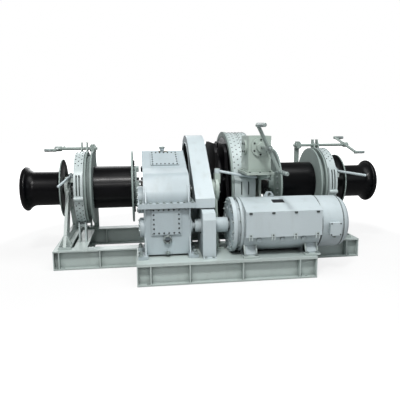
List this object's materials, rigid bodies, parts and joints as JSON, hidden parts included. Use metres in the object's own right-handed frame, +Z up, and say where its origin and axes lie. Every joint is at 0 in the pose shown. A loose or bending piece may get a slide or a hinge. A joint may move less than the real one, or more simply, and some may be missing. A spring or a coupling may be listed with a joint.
{
  "type": "anchor windlass",
  "caption": "Electric anchor windlass and mooring winch: geared motor, open gear, chain wheel, two rope drums with band brakes and two warping heads on a beam frame.",
  "frame": {"origin": "on the deck below the main shaft axis, near the middle of the shaft, on the bottom of the centre cross beam", "axes": "+X along the main shaft, away from the gearbox end and towards the motor end; +Y away from the motor side; +Z up"},
  "size_m": [4.415, 2.3539, 1.605],
  "materials": {
    "grey_paint": "gloss pale grey-green enamel",
    "pale_paint": "gloss off-white enamel",
    "black_paint": "gloss black enamel",
    "machined_steel": "machined, lightly oiled",
    "gear_iron": "dark greased casting"
  },
  "bodies": {
    "base": {"brake_band_chain": "pale_paint", "brake_band_left": "pale_paint", "brake_band_right": "pale_paint", "brake_column": "grey_paint", "brake_post_left": "grey_paint", "brake_post_right": "grey_paint", "coupling_guard": "grey_paint", "cross_beam_centre": "grey_paint", "cross_beam_gearbox": "grey_paint", "cross_beam_left_brake": "grey_paint", "cross_beam_left_end": "grey_paint", "cross_beam_mid_left": "grey_paint", "cross_beam_mid_right": "grey_paint", "cross_beam_right_brake": "grey_paint", "cross_beam_right_end": "grey_paint", "front_beam": "grey_paint", "front_deck_plate": "grey_paint", "front_left_beam": "grey_paint", "front_mid_beam": "grey_paint", "front_right_beam": "grey_paint", "gear_guard": "grey_paint", "gearbox_front_cover": "grey_paint", "gearbox_lower_case": "grey_paint", "gearbox_upper_case": "grey_paint", "inner_stand": "grey_paint", "left_end_stand": "grey_paint", "mid_stand": "grey_paint", "motor_bell": "grey_paint", "motor_body": "grey_paint", "motor_cover": "grey_paint", "motor_lifting_lug": "grey_paint", "pinion_stand": "grey_paint", "rear_back_beam": "grey_paint", "rear_front_beam": "grey_paint", "right_end_stand": "grey_paint"},
    "main_shaft": {"main_shaft": "machined_steel", "open_gear": "gear_iron", "warping_head_left": "black_paint", "warping_head_right": "black_paint"},
    "pinion": {"pinion": "machined_steel"},
    "drum_left": {"drum_left": "black_paint"},
    "drum_right": {"drum_right": "black_paint"},
    "chain_wheel": {"chain_wheel": "black_paint"},
    "clutch_sleeve_left": {"clutch_sleeve_left": "gear_iron"},
    "clutch_sleeve_right": {"clutch_sleeve_right": "gear_iron"},
    "crank_left": {"crank_left": "grey_paint"},
    "crank_right": {"crank_right": "grey_paint"},
    "crank_mid": {"crank_mid": "grey_paint"},
    "motor_coupling": {"motor_coupling": "machined_steel"},
    "lever_left": {"lever_left": "grey_paint"},
    "lever_mid": {"lever_mid": "grey_paint"},
    "lever_right": {"lever_right": "grey_paint"}
  },
  "joints": [
    {"name": "main_shaft_turn", "type": "hinge", "parent": "base", "child": "main_shaft", "pos_m": [0, 0, 0.845], "axis": [1, 0, 0], "continuous": true},
    {"name": "pinion_turn", "type": "hinge", "parent": "base", "child": "pinion", "pos_m": [-0.185, -0.67834, 0.875], "axis": [1, 0, 0], "continuous": true},
    {"name": "drum_left_turn", "type": "hinge", "parent": "base", "child": "drum_left", "pos_m": [-1.2, 0, 0.845], "axis": [1, 0, 0], "continuous": true},
    {"name": "drum_right_turn", "type": "hinge", "parent": "base", "child": "drum_right", "pos_m": [1.15, 0, 0.845], "axis": [1, 0, 0], "continuous": true},
    {"name": "chain_wheel_turn", "type": "hinge", "parent": "base", "child": "chain_wheel", "pos_m": [0.15, 0, 0.845], "axis": [1, 0, 0], "continuous": true},
    {"name": "clutch_left_slide", "type": "slide", "parent": "main_shaft", "child": "clutch_sleeve_left", "axis": [-1, 0, 0], "range_m": [0, 0.015]},
    {"name": "clutch_right_slide", "type": "slide", "parent": "main_shaft", "child": "clutch_sleeve_right", "axis": [1, 0, 0], "range_m": [0, 0.015]},
    {"name": "crank_left_turn", "type": "hinge", "parent": "base", "child": "crank_left", "pos_m": [-1.7, 0.44, 1.302], "axis": [1, 0, 0], "continuous": true},
    {"name": "crank_right_turn", "type": "hinge", "parent": "base", "child": "crank_right", "pos_m": [1.7, 0.44, 1.302], "axis": [1, 0, 0], "continuous": true},
    {"name": "crank_mid_turn", "type": "hinge", "parent": "base", "child": "crank_mid", "pos_m": [0.412, -1, 1.354], "axis": [0, -1, 0], "continuous": true},
    {"name": "motor_coupling_turn", "type": "hinge", "parent": "base", "child": "motor_coupling", "pos_m": [-0.16, -0.96, 0.53], "axis": [1, 0, 0], "continuous": true},
    {"name": "lever_left_swing", "type": "hinge", "parent": "base", "child": "lever_left", "pos_m": [-1.665, -0.17, 1.01], "axis": [0, 0, 1], "range_deg": [-6, 12]},
    {"name": "lever_mid_swing", "type": "hinge", "parent": "base", "child": "lever_mid", "pos_m": [-0.005, -0.71834, 1.085], "axis": [0, 0, 1], "range_deg": [-8, 8]},
    {"name": "lever_right_swing", "type": "hinge", "parent": "base", "child": "lever_right", "pos_m": [1.574, -0.3, 1.01], "axis": [0, 0, 1], "range_deg": [-12, 6]}
  ],
  "couplings": [
    {"joint": "pinion_turn", "follows": "main_shaft_turn", "ratio": -4.7059}
  ]
}
